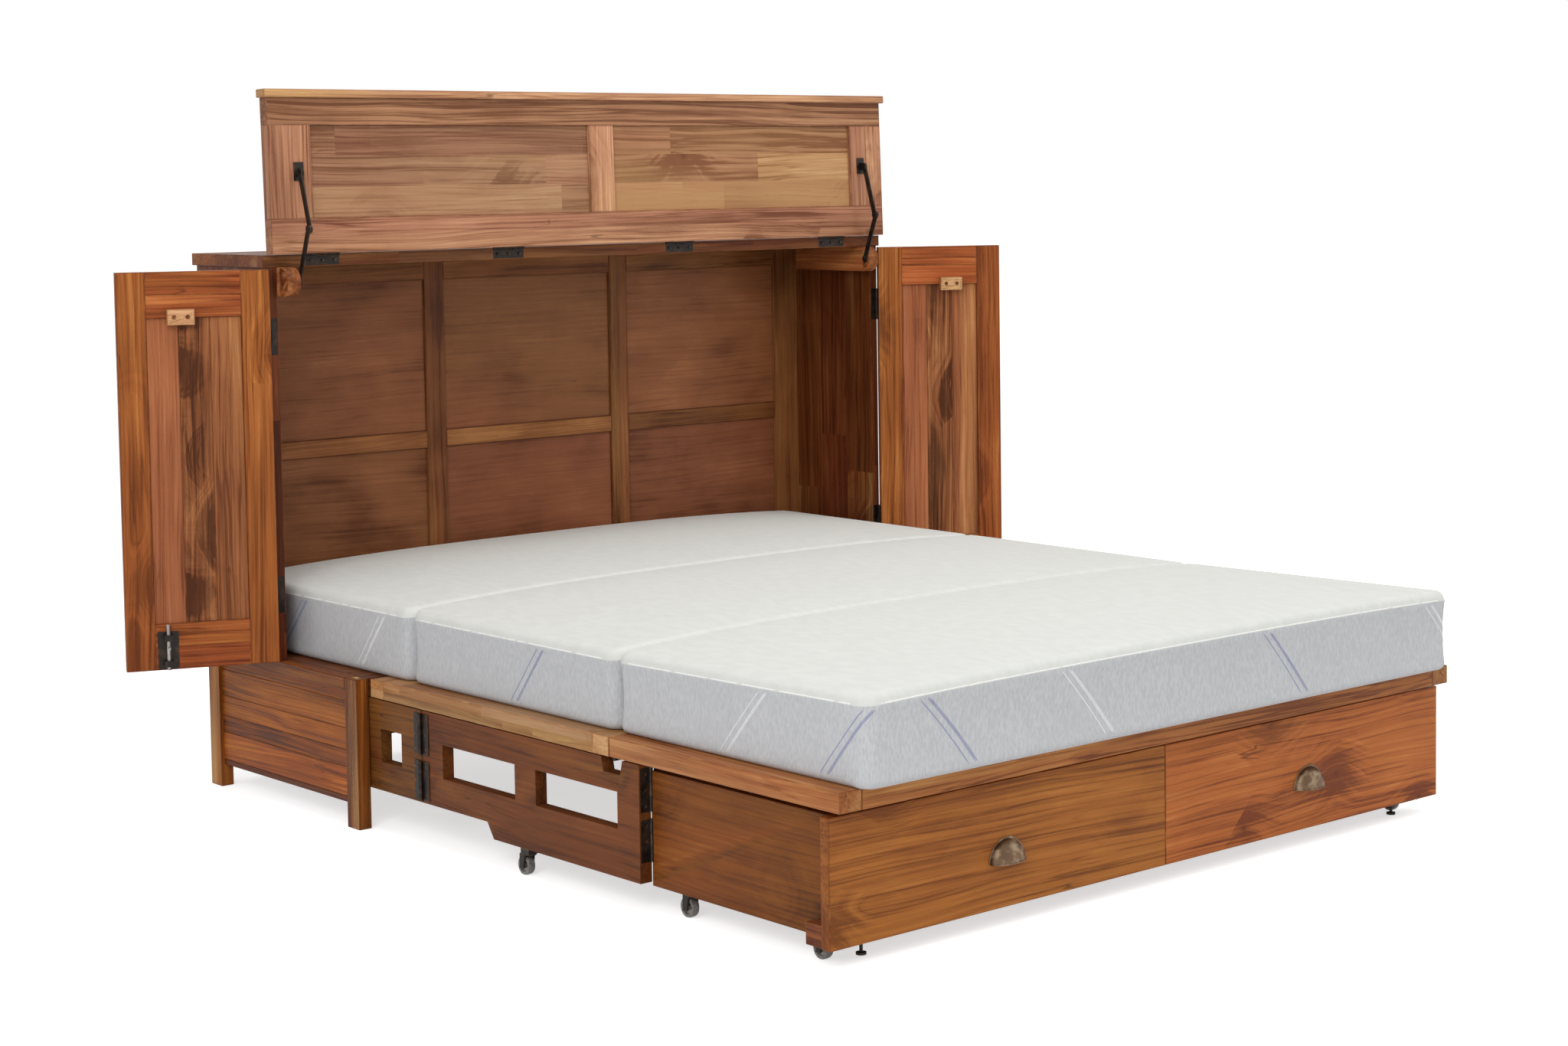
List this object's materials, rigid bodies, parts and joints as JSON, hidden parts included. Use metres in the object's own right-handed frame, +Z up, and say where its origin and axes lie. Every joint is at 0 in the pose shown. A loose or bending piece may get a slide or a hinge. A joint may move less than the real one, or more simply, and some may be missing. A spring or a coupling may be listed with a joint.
{
  "type": "cabinet bed",
  "caption": "Open cabinet bed: low cabinet with lift-up lid and side doors, folding slatless platform, folding side panels, wide caster drawer and folding mattress.",
  "frame": {"origin": "on the floor under the middle of the open bed's box", "axes": "+X to the right seen from the foot, -Y towards the foot, +Z up"},
  "size_m": [2.1946, 2.0577, 1.4669],
  "materials": {
    "wood": "satin stained hardwood, open grain",
    "dark_wood": "darker satin stained hardwood",
    "black_iron": "black iron",
    "pull_pewter": "antique, rubbed",
    "caster_wheel": "satin grey",
    "mattress_fabric": "knitted cover"
  },
  "bodies": {
    "cabinet": {"base_frame_left": "wood", "base_frame_right": "wood", "base_side_planks": "wood", "base_cross_rails": "dark_wood", "base_deck": "dark_wood", "back_frame": "dark_wood", "back_panels": "dark_wood", "wall_left": "wood", "wall_right": "wood", "top_slab": "wood", "stay_cleats": "wood", "cabinet_fittings": "black_iron"},
    "lid": {"lid_frame": "wood", "lid_panels": "wood", "lid_cap": "wood", "lid_hardware": "black_iron"},
    "platform_middle": {"platform_middle": "dark_wood", "platform_middle_leaves": "black_iron"},
    "platform_foot": {"platform_foot": "wood", "platform_foot_leaves": "black_iron"},
    "drawer": {"drawer_box": "dark_wood", "drawer_front_left": "wood", "drawer_front_right": "wood", "cup_pulls": "pull_pewter", "drawer_fittings": "black_iron"},
    "mattress_head": {"mattress_head": "mattress_fabric"},
    "mattress_middle": {"mattress_middle": "mattress_fabric"},
    "mattress_foot": {"mattress_foot": "mattress_fabric"},
    "door_left": {"door_frame_left": "wood", "door_panel_left": "wood", "door_fittings_left": "black_iron"},
    "door_bolt_left": {"door_bolt_left": "black_iron"},
    "stay_lower_left": {"stay_lower_left": "black_iron"},
    "stay_upper_left": {"stay_upper_left": "black_iron"},
    "rear_side_panel_left": {"rear_side_panel_left": "dark_wood", "rear_panel_leaves_left": "black_iron"},
    "front_side_panel_left": {"front_side_panel_left": "dark_wood", "front_panel_leaves_left": "black_iron"},
    "caster_fork_panel_left": {"caster_fork_panel_left": "black_iron"},
    "caster_wheel_panel_left": {"caster_wheel_panel_left": "caster_wheel"},
    "caster_fork_rear_left": {"caster_fork_rear_left": "black_iron"},
    "caster_wheel_rear_left": {"caster_wheel_rear_left": "caster_wheel"},
    "caster_fork_front_left": {"caster_fork_front_left": "black_iron"},
    "caster_wheel_front_left": {"caster_wheel_front_left": "caster_wheel"},
    "door_right": {"door_frame_right": "wood", "door_panel_right": "wood", "door_fittings_right": "black_iron"},
    "door_bolt_right": {"door_bolt_right": "black_iron"},
    "stay_lower_right": {"stay_lower_right": "black_iron"},
    "stay_upper_right": {"stay_upper_right": "black_iron"},
    "rear_side_panel_right": {"rear_side_panel_right": "dark_wood", "rear_panel_leaves_right": "black_iron"},
    "front_side_panel_right": {"front_side_panel_right": "dark_wood", "front_panel_leaves_right": "black_iron"},
    "caster_fork_panel_right": {"caster_fork_panel_right": "black_iron"},
    "caster_wheel_panel_right": {"caster_wheel_panel_right": "caster_wheel"},
    "caster_fork_rear_right": {"caster_fork_rear_right": "black_iron"},
    "caster_wheel_rear_right": {"caster_wheel_rear_right": "caster_wheel"},
    "caster_fork_front_right": {"caster_fork_front_right": "black_iron"},
    "caster_wheel_front_right": {"caster_wheel_front_right": "caster_wheel"}
  },
  "joints": [
    {"name": "platform_fold", "type": "hinge", "parent": "cabinet", "child": "platform_middle", "pos_m": [0, 0.4255, 0.296], "axis": [-1, 0, 0], "range_deg": [0, 90]},
    {"name": "foot_fold", "type": "hinge", "parent": "platform_middle", "child": "platform_foot", "pos_m": [0, -0.374, 0.259], "axis": [1, 0, 0], "range_deg": [0, 180]},
    {"name": "rear_panel_fold_left", "type": "hinge", "parent": "cabinet", "child": "rear_side_panel_left", "pos_m": [-0.7675, 0.939, 0.172], "axis": [0, 0, 1], "range_deg": [0, 90]},
    {"name": "knee_fold_left", "type": "hinge", "parent": "rear_side_panel_left", "child": "front_side_panel_left", "pos_m": [-0.7975, 0.239, 0.172], "axis": [0, 0, -1], "range_deg": [0, 180]},
    {"name": "drawer_fold", "type": "hinge", "parent": "front_side_panel_left", "child": "drawer", "pos_m": [-0.7675, -0.461, 0.172], "axis": [0, 0, 1], "range_deg": [0, 90]},
    {"name": "rear_panel_fold_right", "type": "hinge", "parent": "cabinet", "child": "rear_side_panel_right", "pos_m": [0.7675, 0.939, 0.172], "axis": [0, 0, -1], "range_deg": [0, 90]},
    {"name": "knee_fold_right", "type": "hinge", "parent": "rear_side_panel_right", "child": "front_side_panel_right", "pos_m": [0.7975, 0.239, 0.172], "axis": [0, 0, 1], "range_deg": [0, 180]},
    {"name": "mattress_head_fold", "type": "hinge", "parent": "cabinet", "child": "mattress_head", "pos_m": [0, 0.9165, 0.3868], "axis": [-1, 0, 0], "range_deg": [0, 90], "deforming": ["mattress_head"]},
    {"name": "mattress_middle_fold", "type": "hinge", "parent": "mattress_head", "child": "mattress_middle", "pos_m": [0, 0.32567, 0.3], "axis": [1, 0, 0], "range_deg": [0, 180], "deforming": ["mattress_middle"]},
    {"name": "mattress_foot_fold", "type": "hinge", "parent": "mattress_middle", "child": "mattress_foot", "pos_m": [0, -0.35167, 0.4693], "axis": [-1, 0, 0], "range_deg": [0, 180], "deforming": ["mattress_foot"]},
    {"name": "lid_fold", "type": "hinge", "parent": "cabinet", "child": "lid", "pos_m": [0, 0.729, 1.131], "axis": [1, 0, 0], "range_deg": [0, 92]},
    {"name": "stay_lower_fold_left", "type": "hinge", "parent": "cabinet", "child": "stay_lower_left", "pos_m": [-0.7655, 0.704, 1.077], "axis": [1, 0, 0], "range_deg": [0, 120]},
    {"name": "stay_upper_fold_left", "type": "hinge", "parent": "lid", "child": "stay_upper_left", "pos_m": [-0.7615, 0.698, 1.298], "axis": [-1, 0, 0], "range_deg": [0, 60]},
    {"name": "door_swing_left", "type": "hinge", "parent": "cabinet", "child": "door_left", "pos_m": [-0.8225, 0.7285, 0.704], "axis": [0, 0, 1], "range_deg": [-60, 112]},
    {"name": "bolt_slide_left", "type": "slide", "parent": "door_left", "child": "door_bolt_left", "axis": [0, 0, -1], "range_m": [0, 0.012]},
    {"name": "caster_swivel_panel_left", "type": "hinge", "parent": "front_side_panel_left", "child": "caster_fork_panel_left", "pos_m": [-0.78, -0.103, 0.04], "axis": [0, 0, 1], "continuous": true},
    {"name": "caster_roll_panel_left", "type": "hinge", "parent": "caster_fork_panel_left", "child": "caster_wheel_panel_left", "pos_m": [-0.78, -0.091, 0.0185], "axis": [1, 0, 0], "continuous": true},
    {"name": "caster_swivel_rear_left", "type": "hinge", "parent": "drawer", "child": "caster_fork_rear_left", "pos_m": [-0.7445, -0.549, 0.04], "axis": [0, 0, 1], "continuous": true},
    {"name": "caster_roll_rear_left", "type": "hinge", "parent": "caster_fork_rear_left", "child": "caster_wheel_rear_left", "pos_m": [-0.7445, -0.537, 0.0185], "axis": [1, 0, 0], "continuous": true},
    {"name": "caster_swivel_front_left", "type": "hinge", "parent": "drawer", "child": "caster_fork_front_left", "pos_m": [-0.7445, -0.906, 0.04], "axis": [0, 0, 1], "continuous": true},
    {"name": "caster_roll_front_left", "type": "hinge", "parent": "caster_fork_front_left", "child": "caster_wheel_front_left", "pos_m": [-0.7445, -0.894, 0.0185], "axis": [1, 0, 0], "continuous": true},
    {"name": "stay_lower_fold_right", "type": "hinge", "parent": "cabinet", "child": "stay_lower_right", "pos_m": [0.7655, 0.704, 1.077], "axis": [1, 0, 0], "range_deg": [0, 120]},
    {"name": "stay_upper_fold_right", "type": "hinge", "parent": "lid", "child": "stay_upper_right", "pos_m": [0.7615, 0.698, 1.298], "axis": [-1, 0, 0], "range_deg": [0, 60]},
    {"name": "door_swing_right", "type": "hinge", "parent": "cabinet", "child": "door_right", "pos_m": [0.8225, 0.7285, 0.704], "axis": [0, 0, -1], "range_deg": [-112, 60]},
    {"name": "bolt_slide_right", "type": "slide", "parent": "door_right", "child": "door_bolt_right", "axis": [0, 0, -1], "range_m": [0, 0.012]},
    {"name": "caster_swivel_panel_right", "type": "hinge", "parent": "front_side_panel_right", "child": "caster_fork_panel_right", "pos_m": [0.78, -0.103, 0.04], "axis": [0, 0, 1], "continuous": true},
    {"name": "caster_roll_panel_right", "type": "hinge", "parent": "caster_fork_panel_right", "child": "caster_wheel_panel_right", "pos_m": [0.78, -0.091, 0.0185], "axis": [1, 0, 0], "continuous": true},
    {"name": "caster_swivel_rear_right", "type": "hinge", "parent": "drawer", "child": "caster_fork_rear_right", "pos_m": [0.7445, -0.549, 0.04], "axis": [0, 0, 1], "continuous": true},
    {"name": "caster_roll_rear_right", "type": "hinge", "parent": "caster_fork_rear_right", "child": "caster_wheel_rear_right", "pos_m": [0.7445, -0.537, 0.0185], "axis": [1, 0, 0], "continuous": true},
    {"name": "caster_swivel_front_right", "type": "hinge", "parent": "drawer", "child": "caster_fork_front_right", "pos_m": [0.7445, -0.906, 0.04], "axis": [0, 0, 1], "continuous": true},
    {"name": "caster_roll_front_right", "type": "hinge", "parent": "caster_fork_front_right", "child": "caster_wheel_front_right", "pos_m": [0.7445, -0.894, 0.0185], "axis": [1, 0, 0], "continuous": true}
  ],
  "couplings": [
    {"joint": "foot_fold", "follows": "platform_fold", "ratio": 2},
    {"joint": "rear_panel_fold_left", "follows": "platform_fold", "ratio": 1},
    {"joint": "knee_fold_left", "follows": "platform_fold", "ratio": 2},
    {"joint": "drawer_fold", "follows": "platform_fold", "ratio": 1},
    {"joint": "rear_panel_fold_right", "follows": "platform_fold", "ratio": 1},
    {"joint": "knee_fold_right", "follows": "platform_fold", "ratio": 2},
    {"joint": "mattress_head_fold", "follows": "platform_fold", "ratio": 1},
    {"joint": "mattress_middle_fold", "follows": "platform_fold", "ratio": 2},
    {"joint": "mattress_foot_fold", "follows": "platform_fold", "ratio": 2},
    {"joint": "stay_lower_fold_left", "follows": "lid_fold", "ratio": 1.2652},
    {"joint": "stay_upper_fold_left", "follows": "lid_fold", "ratio": 0.4609},
    {"joint": "stay_lower_fold_right", "follows": "lid_fold", "ratio": 1.2652},
    {"joint": "stay_upper_fold_right", "follows": "lid_fold", "ratio": 0.4609}
  ]
}
